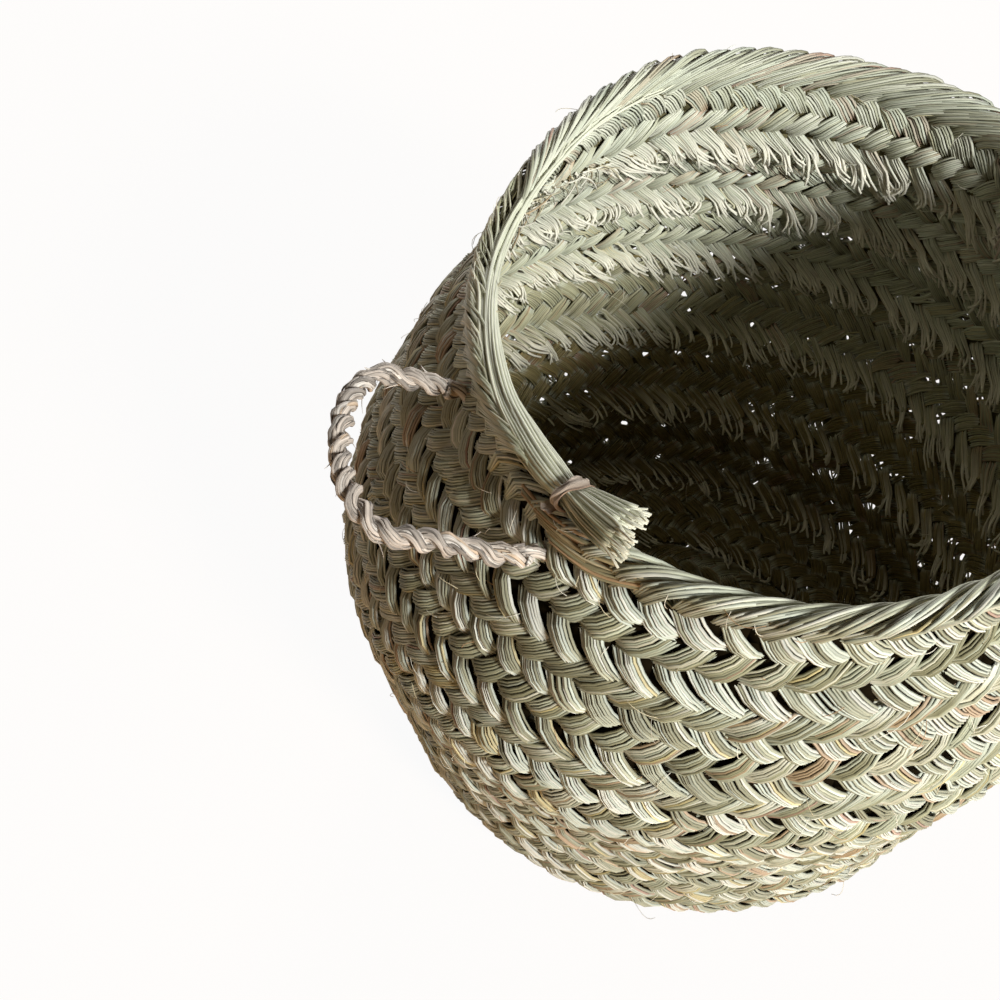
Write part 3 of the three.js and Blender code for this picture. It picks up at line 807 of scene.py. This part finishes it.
def rimBundle():
    b, w = bundle, wallShape
    strands = int((b["startTo"] - b["startFrom"]) * rimLength / weave["pitch"])
    count = strands * b["perStrand"]
    each = (count, 1)
    place = np.tile(np.linspace(-1, 1, b["perStrand"]), strands)[:, None]
    first = np.repeat(np.linspace(b["startFrom"], b["startTo"], strands), b["perStrand"])[:, None]
    begin = first + (place * b["halfStrand"] + rng.normal(0, b["startUneven"], each)) / rimLength
    order = np.arange(count)
    far = np.sqrt((order + 0.5) / count)
    spin = order * b["goldenAngle"]  # spreads them evenly over the section
    outer, upper, chance = b["fill"]  # the last to join lie uppermost, on the outer side
    joining = far * (outer * np.sin(spin) + upper * np.cos(spin))
    fill = np.argsort(joining + chance * rng.standard_normal(count))
    far, spin = far[fill][:, None], spin[fill][:, None]
    climb = np.minimum(b["climbRun"], b["climbShare"] * (1 - begin) * rimLength) / rimLength
    isLong = rng.random(each) < b["tailShare"]
    tail = np.where(isLong, rng.uniform(*b["tailReach"], each), b["tailHidden"])
    tail = tail * b["tail"] * np.linspace(0, 1, b["tailSteps"] + 1)[1:] / rimLength
    joined = begin + climb
    rest = np.linspace(0, 1, b["runs"] + 1)[1:]
    along = np.concatenate(
        [begin + climb * np.array(b["climbSteps"]), joined + (1 - joined) * rest, 1 + tail], 1)
    turn = turns - 1 + along
    lower, width = plaitAt(np.minimum(turn, turns))
    lower = np.where(turn > turns, w["plaitWidth"] * (turn - 1) + w["bundleLift"], lower)
    past = (turn - turns) * rimLength  # millimetres beyond the tie
    q = np.clip(past / b["tail"], 0, 1.1)
    g = np.clip((along - begin) / climb, -0.2, 1)
    gather = smooth(b["gatherFrom"], 1, g)
    phase = spin + b["twist"] * (along - b["twistMiddle"])
    size = 1 - (1 - b["squeeze"]) * np.exp(-(past / b["squeezeRun"] - b["squeezeAt"]) ** 2)
    halfHigh = between(b["halfHigh"] * size, b["tailHeight"] / 2, q)
    halfThick = between(b["halfThick"] * size, b["tailSpread"] / 2, q)
    sway = b["sway"] * rng.standard_normal(each) * np.sin(along * rng.uniform(*b["swayRate"], each) + spin)
    high = far * np.cos(phase) * halfHigh + sway - w["bundleHeight"] / 2 + b["tailRise"] * q
    outward = far * np.sin(phase) * halfThick + sway * b["swayOut"]
    outward = outward - b["inward"] * (1 - q) - b["tailDrift"] * q ** 2
    climbed = np.clip(g / b["climbed"], 0, 1)
    rise = np.sin(math.pi / 2 * climbed)
    footHigh = (b["foot"] - b["footEnd"]) * rise - b["foot"] - place * b["footSpread"] * (1 - rise)
    footOut = b["footOut"] * smooth(*b["footRise"], g) + b["bulge"] * np.sin(math.pi * climbed)
    curl = rng.normal(0, 1, each) * np.clip(q - b["curlFrom"], 0, 1) ** 2 * b["tailCurl"]
    arc = lower + width + between(footHigh, high, gather) + curl * rng.choice([-1, 1], each)
    out = between(footOut, outward, gather) + curl * b["curlOut"]
    tint = pickTones(grassTones[:3] + [(creamTone, 2)], (count,), 0.06)
    # painted shade darkens the whole bundle, and painted light makes its inner, upper side pale
    pale = b["pale"] * (gather * smooth(*b["paintedLightDepth"], outward))[..., None]  # less on the outer side
    tint = between(tint[:, None] * np.array(b["outerPaintedShade"]), linear(paintedLightTone), pale)
    tint = between(tint, linear(creamTone), (smooth(0.7, 1, q) * b["endPale"])[..., None])
    radius = b["radius"] * uneven(b["radiusSpread"], each) * between(1, b["tailSwell"], smooth(0, 0.5, q))
    return stalksOnWall(arc, turn, out, radius, tint, b["flank"])


# The first stalks of the last turn, which come out from under the tie and roll over the edge
starters = dict(
    stalks=22, startFrom=-24, startTo=6, run=68, runUneven=(0.85, 1.1), steps=14, radius=0.85, flank=0.5,
    low=-15, high=-2, heightUneven=0.7, overFrom=0.3, out=4.4, roll=5.2, crest=1.2, layers=0.9,
    sink=4, sinkFrom=0.8, inward=4, inwardFrom=0.6, hidden=3.5, hiddenTo=0.08,
    tones=[((200, 166, 126), 3), ((178, 160, 120), 3), ((220, 208, 172), 3), ((160, 152, 118), 3)],
)


def rimStarters():
    f = starters
    each = (f["stalks"], 1)
    place = np.linspace(0, 1, f["stalks"])[:, None]
    g = np.linspace(0, 1, f["steps"])
    start = between(f["startFrom"], f["startTo"], place) + rng.normal(0, 1, each)
    turn = turns - 1 + (start + f["run"] * rng.uniform(*f["runUneven"], each) * g) / rimLength
    low = between(f["high"], f["low"], place) + rng.normal(0, f["heightUneven"], each)
    over = smooth(f["overFrom"], 1, g)
    crest = np.sin(math.pi * over)
    arc = wallShape["plaitWidth"] * turn + low * (1 - over) + f["crest"] * crest
    arc = arc - f["sink"] * smooth(f["sinkFrom"], 1, g)
    out = (f["out"] + f["layers"] * np.sin(place * 19)) * (1 - over) + (f["roll"] - f["out"]) * crest
    out = out - f["inward"] * smooth(f["inwardFrom"], 1, g) - f["hidden"] * smooth(f["hiddenTo"], 0, g)
    return stalksOnWall(arc, turn, out, f["radius"], pickTones(f["tones"], each, 0.08), f["flank"])


# Cut ends that come out in curls on the inside below the bundle, where the plait narrows
fringe = dict(
    ends=190, middle=0.8, spread=0.055, first=0.66, last=0.95, steps=9, shortest=7, longest=26,
    heading=(0.15, 1.0), curl=(0.5, 0.9), height=(-1, 7), out=4.2, outUneven=0.5, standing=(0, 0.3),
    radius=0.55, radiusSpread=0.1, tip=0.65, flank=0.6,
    tones=[(creamTone, 4), ((222, 214, 184), 2), ((206, 184, 150), 1)],
)


def rimFringe():
    f = fringe
    each = (f["ends"], 1)
    along = np.clip(rng.normal(f["middle"], f["spread"], each), f["first"], f["last"])
    lower = plaitAt(turns - 1 + along)[0]
    reach = rng.uniform(f["shortest"], f["longest"], each)
    bend = np.linspace(0, 1, f["steps"])
    heading = rng.uniform(*f["heading"], each) + rng.normal(*f["curl"], each) * bend
    step = reach / (f["steps"] - 1)
    turn = turns - 1 + along - np.cumsum(np.cos(heading), 1) * step / rimLength
    arc = lower + rng.uniform(*f["height"], each) - np.cumsum(np.sin(heading), 1) * step
    out = -f["out"] - rng.uniform(*f["standing"], each) * reach * bend + rng.normal(0, f["outUneven"], each)
    tint = pickTones(f["tones"], each, 0.06)
    radius = f["radius"] * np.linspace(1, f["tip"], f["steps"]) * uneven(f["radiusSpread"], each)
    return stalksOnWall(arc, turn, out, radius, tint, f["flank"])


for courseIndex in range(len(joins)):
    weaveCourse(courseIndex)
print("plait woven")

# Sewing cords: two fine yarns laid round each other in the inner groove between two turns
sewing = dict(
    radius=0.55, lay=0.5, twistPitch=7.0, stepsPerTwist=6, depth=1.7, stitch=13.5, bob=0.5, bobOut=0.3,
    endGap=0.5, tones=[(134, 120, 78), (120, 106, 66)],
)


def sewingCord(index):
    s = sewing
    first, last = joins[index] - 1, joins[index]
    if index == len(joins) - 1:
        last -= 2 * wallShape["liftTurns"]
    start, end = np.interp([first, last], rulerTurn, rulerLength)
    steps = int((end - start) / s["twistPitch"] * s["stepsPerTwist"])
    length = np.linspace(start + s["endGap"], end - s["endGap"], steps)
    turn = np.interp(length, rulerLength, rulerTurn)
    phase = 2 * math.pi * length / s["twistPitch"] + np.array([[0], [math.pi]])
    bob = s["bob"] * np.sin(2 * math.pi * length / s["stitch"])
    arc = lowerArc(turn) + s["lay"] * np.cos(phase) + bob
    out = -s["depth"] + s["lay"] * np.sin(phase) - s["bobOut"] * bob
    group = stalksOnWall(arc, turn, out, s["radius"], linear(s["tones"])[:, None])
    makePiece(f"sewingCord{index}", [group], [cordFinish],
              "basket_body", [f"sewing_cord_{index}"])


for seam in range(1, len(joins)):
    sewingCord(seam)
print("seams sewn")

# The rope handles. Waves are given as size, rate along the rope and shift from ply to ply.
handleShape = dict(
    ropeDiameter=9.5, angles=dict(left=214.4, right=18), arc=32.4, drop=31, skew=7, reach=56, raised=16,
    eyeStand=2.6, gap=0.3, plyOffset=1.85, layPitch=18, step=1.1,
    layWaves=((0.35, 0.13, 1), (0.2, 0.31, 2)), plyWaves=((0.13, 0.52, 2), (0.09, 1.27, 1)),
    # the flank factor is painted shade on the sides of each leaf strip, dark lines between the strips
    strips=12, stripOffset=2.1, stripWidth=0.98, stripFlat=0.5, stripPitch=23, stripSides=6, flank=0.36,
    stripUneven=0.16, stray=0.14, strayRate=(0.25, 0.7), widthSpread=0.2, widthRate=(0.3, 0.7),
)
halfWall = wallShape["plaitThickness"] / 2
outerStand = halfWall + handleShape["eyeStand"] + handleShape["gap"] + handleShape["ropeDiameter"] / 2
# The loop's route in its own plane: shares of the span between the eyes and of the reach
loopRoute = [
    (-0.5, 0), (-0.54, 0.12), (-0.57, 0.28), (-0.6, 0.42), (-0.56, 0.57), (-0.45, 0.74), (-0.24, 0.91),
    (0, 1), (0.2, 0.98), (0.32, 0.88), (0.36, 0.74), (0.39, 0.58), (0.43, 0.36), (0.48, 0.13), (0.5, 0),
]


def eyeOnWall(middleAngle, side):
    h, w = handleShape, wallShape
    middleTurn = turns - ((w["tieAngle"] - middleAngle) % 360) / 360
    width = plaitAt(np.array(middleTurn))[1]
    arc = float(w["plaitWidth"] * (middleTurn - 1) + width) - h["drop"] - side * h["skew"] / 2
    angle = math.radians(middleAngle + side * h["arc"] / 2)
    along = onWall(arc, angle + 0.01, 0) - onWall(arc, angle - 0.01, 0)
    up = onWall(arc + 1, angle, 0) - onWall(arc - 1, angle, 0)
    return onWall(arc, angle, 0), unit(np.cross(along, up))


def evenSteps(points, step):
    length = runAlong(points)
    marks = np.linspace(0, length[-1], max(3, int(length[-1] / step)))
    return np.stack([np.interp(marks, length, points[:, k]) for k in range(3)], 1), marks


# Two directions across a path that turn with it as little as they can
def carriedFrame(points):
    tangent = unit(np.gradient(points, axis=0))
    across = [unit(np.cross(tangent[0], (0.3, 0.2, 1.0)))]
    for t in tangent[1:]:
        across.append(unit(across[-1] - t * (across[-1] @ t)))
    across = np.array(across)
    return tangent, across, np.cross(tangent, across)


# A rope of twisted plies, each a bunch of leaf strips laid the other way round
def ropeStrips(centre, marks, plies, offset, tight=1.0):
    h = handleShape
    across, away = carriedFrame(centre)[1:]
    count = plies * h["strips"]
    paths, facing = [], []
    for ply in range(plies):
        stray, swell = [sum(size * np.sin(marks * rate + shift * ply) for size, rate, shift in h[waves])
                        for waves in ("layWaves", "plyWaves")]
        lay = 2 * math.pi * (marks / h["layPitch"] + ply / plies) + stray
        middle = centre + offset * turnedTo(lay, across, away)
        for strip in range(h["strips"]):
            around = 2 * math.pi * (strip / h["strips"] - marks / h["stripPitch"]) + ply + lay
            stray = h["stray"] * np.sin(marks * rng.uniform(*h["strayRate"]) + rng.uniform(0, 6))
            reach = 1 + h["stripUneven"] * math.sin(strip * 2.1 + ply) + stray
            reach = h["stripOffset"] * tight * (1 + swell) * reach
            outwards = turnedTo(around, across, away)
            paths.append(middle + reach[:, None] * outwards)
            facing.append(outwards)
    width = h["stripWidth"] * tight * uneven(h["widthSpread"], (count, 1))
    waves = marks * rng.uniform(*h["widthRate"], (count, 1)) + rng.uniform(0, 6, (count, 1))
    width = width * (1 + h["widthSpread"] * np.sin(waves))
    tint = pickTones(palmTones, (count, 1), 0.08)
    return tubes(np.array(paths), np.array(facing), width, tint, h["stripSides"], h["stripFlat"], h["flank"])


# Ends of leaf strips that have come loose from the rope
splinter = dict(
    count=18, longest=9, shortest=0.4, clear=4, steps=6, along=0.8, outward=0.55, outPower=1.5, start=3.6,
    radius=(0.6, 0.15), flat=0.4,
)


def splinters(centre):
    s = splinter
    count = s["count"]
    tangent, across, away = carriedFrame(centre)
    at = rng.integers(s["clear"], len(centre) - s["clear"], count)
    out = turnedTo(rng.uniform(0, 2 * math.pi, count), across[at], away[at])[:, None]
    t = np.linspace(0, 1, s["steps"])[None, :, None]
    reach = rng.uniform(s["shortest"], 1, (count, 1, 1)) * s["longest"]
    grown = t * tangent[at][:, None] * s["along"] + t ** s["outPower"] * out * s["outward"]
    path = centre[at][:, None] + out * s["start"] + reach * grown
    radius = np.linspace(*s["radius"], s["steps"])
    return tubes(path, across[at][:, None], radius, pickTones(palmTones[:3], (count, 1), 0.06), 4, s["flat"])


def handleLoop(side):
    h = handleShape
    eyes = [eyeOnWall(h["angles"][side], s) for s in (-1, 1)]
    ends = [point + out * outerStand for point, out in eyes]
    span = ends[1] - ends[0]
    along = unit(span)
    level = unit(np.cross(along, (0, 0, 1)))
    up = np.cross(level, along)
    raised = math.radians(h["raised"])
    reach = (level * math.cos(raised) + up * math.sin(raised)) * h["reach"]
    middle = (ends[0] + ends[1]) / 2
    route = throughPoints([middle + span * x + reach * y for x, y in loopRoute], 16)
    centre, marks = evenSteps(route, h["step"])
    groups = [ropeStrips(centre, marks, 2, h["plyOffset"]), splinters(centre)]
    label = "handle" + side.title()
    makePiece(label + "Loop", groups, [palmFinish], side + "_handle", ["handle_" + side])
    for end, (point, out), toward in (("Back", eyes[0], -1), ("Front", eyes[1], 1)):
        ropeEnd(label + end + "End", point, out, along * toward, f"handle_{side}_{end.lower()}_end")


# The rope goes through the wall and is knotted on the inner side, where its ends fray
knot = dict(
    shankOffset=0.85, shankTight=0.9, shankPast=2.5, wraps=1.6, coilSteps=34, wide=4.3,
    nearLift=3.2, farLift=8.8, tight=1.25, fringe=12, fringeSteps=7, shortest=8, longest=15,
    inward=0.28, spread=0.32, droop=0.6, stray=0.8, taper=(1.1, 0.55), flat=0.4,
)


def ropeEnd(name, point, out, along, node):
    h, k = handleShape, knot
    stands = (outerStand, halfWall + h["eyeStand"], halfWall, 0, -halfWall, -halfWall - k["shankPast"])
    shank = np.array([point + out * stand for stand in stands])
    centre, marks = evenSteps(throughPoints(shank, 6), h["step"])
    groups = [ropeStrips(centre, marks, 2, h["plyOffset"] * k["shankOffset"], k["shankTight"])]
    up = np.cross(along, out)
    turn = np.linspace(0, 2 * math.pi * k["wraps"], k["coilSteps"])
    lift = np.linspace(-halfWall - k["nearLift"], -halfWall - k["farLift"], k["coilSteps"])
    coil = point + out * lift[:, None] + k["wide"] * turnedTo(turn, along, up)
    groups.append(ropeStrips(*evenSteps(coil, h["step"]), 1, 0.0, k["tight"]))
    each = (k["fringe"], 1, 1)
    grow = np.linspace(0, 1, k["fringeSteps"])[None, :, None]
    spread = rng.normal(0, k["spread"], each) * up + rng.normal(0, k["spread"], each) * along
    length = rng.uniform(k["shortest"], k["longest"], each)
    down = np.array((0, 0, -k["droop"]))
    paths = coil[-1] + length * (grow * (spread - out * k["inward"]) + grow ** 2 * down)
    paths = paths + rng.normal(0, k["stray"], (k["fringe"], 1, 3))
    taper = np.linspace(*k["taper"], k["fringeSteps"])
    tint = pickTones(palmTones, each[:2], 0.1)
    groups.append(tubes(paths, along, taper, tint, h["stripSides"], k["flat"]))
    makePiece(name, groups, [palmFinish], "basket_body", [node])


for handleSide in handleShape["angles"]:
    handleLoop(handleSide)
print("handles twisted")

# The leaf strip that ties the bundle down: one flat crumpled band, wound round once and tucked in below. Its
# first part, the lead, comes up the outer wall.
tieShape = dict(
    width=6, waist=0.15, waistRate=9, middle=-3, oblique=3.5, slant=5, thickness=0.45, along=110, across=8,
    turnsRound=1.12, startAt=0.3, clear=0.8, slack=0.6, cup=0.5, curlFrom=0.94, curl=3.5,
    crumple=0.5, folds=((1, 19, 1.2), (0.6, 47, -2)),
    lead=0.3, leadBack=15, leadDown=13, leadOut=5, leadTuck=4.5, tuckFrom=0.7, leadTilt=0.75,
    brown=0.75, brownFrom=0.2, foldTone=0.12, uvScale=(60, 4),
)


def tailTie():
    s, w = tieShape, wallShape
    bpy.ops.object.select_all(action="DESELECT")
    bpy.ops.mesh.primitive_grid_add(x_subdivisions=s["along"], y_subdivisions=s["across"], size=2)
    piece = bpy.context.object
    piece.name = "tailTie"
    mesh = piece.data
    co = np.empty(len(mesh.vertices) * 3)
    mesh.vertices.foreach_get("co", co)
    co = co.reshape(-1, 3)
    t = (co[:, 0] + 1) / 2  # along the strip
    edge = co[:, 1]  # from one edge of it to the other
    lead = np.clip(1 - t / s["lead"], 0, 1)
    wound = 1 - lead
    around = 2 * math.pi * s["turnsRound"] * np.clip((t - s["lead"]) / (1 - s["lead"]), 0, 1) + s["startAt"]
    fold = sum(size * np.sin(t * rate + skew * edge) for size, rate, skew in s["folds"])
    halfWidth = s["width"] / 2 * (1 - s["waist"] + s["waist"] * np.cos(t * s["waistRate"])) * edge
    tilt = s["leadTilt"] * lead
    back = s["middle"] + halfWidth * np.cos(tilt) + s["slant"] * (t - 0.5) + s["crumple"] * fold
    back = back + s["oblique"] * np.sin(around) * wound + s["leadBack"] * lead
    turn = turns - back / rimLength
    crumple = s["crumple"] * np.sin(edge * 5 + 2 * np.sin(t * 13)) - s["cup"] * edge ** 2
    grow = s["clear"] + s["slack"] * t + crumple + s["curl"] * smooth(s["curlFrom"], 1, t) ** 2
    centre = w["plaitWidth"] * (turn - 1) + w["bundleLift"] + w["bundleHeight"] / 2
    arc = centre - (w["bundleHeight"] / 2 + grow) * np.cos(around)
    arc = arc - s["leadDown"] * lead + halfWidth * np.sin(tilt)
    tucked = s["leadOut"] - s["leadTuck"] * smooth(s["tuckFrom"], 1, lead)
    out = (w["bundleThickness"] / 2 + grow) * np.sin(around) - bundle["inward"]
    placed = onWall(arc, angleAt(turn), between(out, tucked, lead)) * mm
    mesh.vertices.foreach_set("co", placed.ravel())
    fold, edge = fold[:, None], edge[:, None]
    tone = between(linear(tieTone), linear(tieEdgeTone), s["brown"] * smooth(s["brownFrom"], 1, -edge))
    addTint(mesh, tone * (1 + s["foldTone"] * fold * (0.4 + 0.6 * edge ** 2)))
    mesh.uv_layers[0].name = "run"
    uv = np.empty(len(mesh.loops) * 2)
    mesh.uv_layers["run"].data.foreach_get("uv", uv)
    uv = uv.reshape(-1, 2) * s["uvScale"]
    mesh.uv_layers["run"].data.foreach_set("uv", uv.ravel())
    mesh.materials.append(palmFinish)
    solidify = piece.modifiers.new("leafThickness", "SOLIDIFY")
    solidify.thickness = s["thickness"] * mm
    solidify.offset = 0
    bpy.ops.object.modifier_apply(modifier=solidify.name)
    bpy.ops.object.shade_smooth()
    placePiece(piece, "basket_body", ["tail_tie"])


tailTie()
print("tail tied")

# Floor, light and camera. Each lamp has its name, power, size, place and tint.
stage = dict(
    size=6, floorTone=(0.85, 0.55, 0.28), floorRough=0.9, glow=0.95, fill=0.072, fillTint=(1.0, 0.68, 0.41),
    lamps=(("keyLamp", 135, 0.55, (1.44, -2.21, 1.63), (0.985, 1, 0.985)),
           ("backLamp", 60, 0.8, (0.3, 2.7, 1.3), (1, 1, 1))),
    lampTarget=(0, 0, 0.2),
)
view = dict(
    focal=1302.6381, frameWidth=1000, sensor=36, clip=0.01,
    pitch=0.8077, yaw=-0.0072, roll=0.0288, at=(-102.2199, -460.9811, 629.4537),
)


# One shader lights the scene, and another is what the camera sees straight, in a reflection or through glass
def showWhite(tree, lit, whiteKind, share, output):
    link = tree.links.new
    rays = tree.nodes.new("ShaderNodeLightPath")
    mirrored = working(tree, "MAXIMUM", rays.outputs["Is Camera Ray"], rays.outputs["Is Glossy Ray"])
    seen = working(tree, "MAXIMUM", mirrored, rays.outputs["Is Transmission Ray"])
    white = tree.nodes.new(whiteKind)
    white.inputs["Color"].default_value = (1, 1, 1, 1)
    blend = tree.nodes.new("ShaderNodeMixShader")
    link(working(tree, "MULTIPLY", seen, share), blend.inputs["Fac"])
    link(lit.outputs[0], blend.inputs[1])
    link(white.outputs[0], blend.inputs[2])
    link(blend.outputs[0], tree.nodes[output].inputs["Surface"])


def makeFloor():
    bpy.ops.object.select_all(action="DESELECT")
    bpy.ops.mesh.primitive_plane_add(size=stage["size"], location=(0, 0, 0))
    floor = bpy.context.object
    floor.name = "studioFloor"
    material = bpy.data.materials.new("paleFloor")
    material.use_nodes = True
    shader = material.node_tree.nodes["Principled BSDF"]
    shader.inputs["Base Color"].default_value = (*stage["floorTone"], 1)
    shader.inputs["Roughness"].default_value = stage["floorRough"]
    showWhite(material.node_tree, shader, "ShaderNodeEmission", stage["glow"], "Material Output")
    floor.data.materials.append(material)


def makeWorld():
    world = bpy.data.worlds.new("studioWorld")
    bpy.context.scene.world = world
    world.use_nodes = True
    fill = world.node_tree.nodes["Background"]
    fill.inputs["Color"].default_value = (*stage["fillTint"], 1)
    fill.inputs["Strength"].default_value = stage["fill"]
    showWhite(world.node_tree, fill, "ShaderNodeBackground", 1.0, "World Output")


def makeLamp(name, power, size, at, tint):
    data = bpy.data.lights.new(name, "AREA")
    data.energy = power
    data.size = size
    data.color = tint
    lamp = bpy.data.objects.new(name, data)
    lamp.location = at
    lamp.rotation_euler = (Vector(stage["lampTarget"]) - Vector(at)).to_track_quat("-Z", "Y").to_euler()
    bpy.context.scene.collection.objects.link(lamp)


def makeCamera():
    v = view
    cosPitch, sinPitch = math.cos(v["pitch"]), math.sin(v["pitch"])
    ahead = Vector((math.sin(v["yaw"]) * cosPitch, math.cos(v["yaw"]) * cosPitch, -sinPitch))
    level = Vector((math.cos(v["yaw"]), -math.sin(v["yaw"]), 0))
    upright = level.cross(ahead)
    right = level * math.cos(v["roll"]) + upright * math.sin(v["roll"])
    up = upright * math.cos(v["roll"]) - level * math.sin(v["roll"])
    data = bpy.data.cameras.new("photoView")
    data.sensor_width = v["sensor"]
    data.lens = v["focal"] * v["sensor"] / v["frameWidth"]
    data.clip_start = v["clip"]
    camera = bpy.data.objects.new("photoView", data)
    turned = Matrix((right, up, -ahead)).transposed().to_4x4()
    turned.translation = Vector(v["at"]) * mm
    camera.matrix_world = turned
    bpy.context.scene.collection.objects.link(camera)
    bpy.context.scene.camera = camera


makeFloor()
makeWorld()
for lampSettings in stage["lamps"]:
    makeLamp(*lampSettings)
makeCamera()
bpy.context.scene.view_settings.view_transform = "Standard"
print("stage ready")
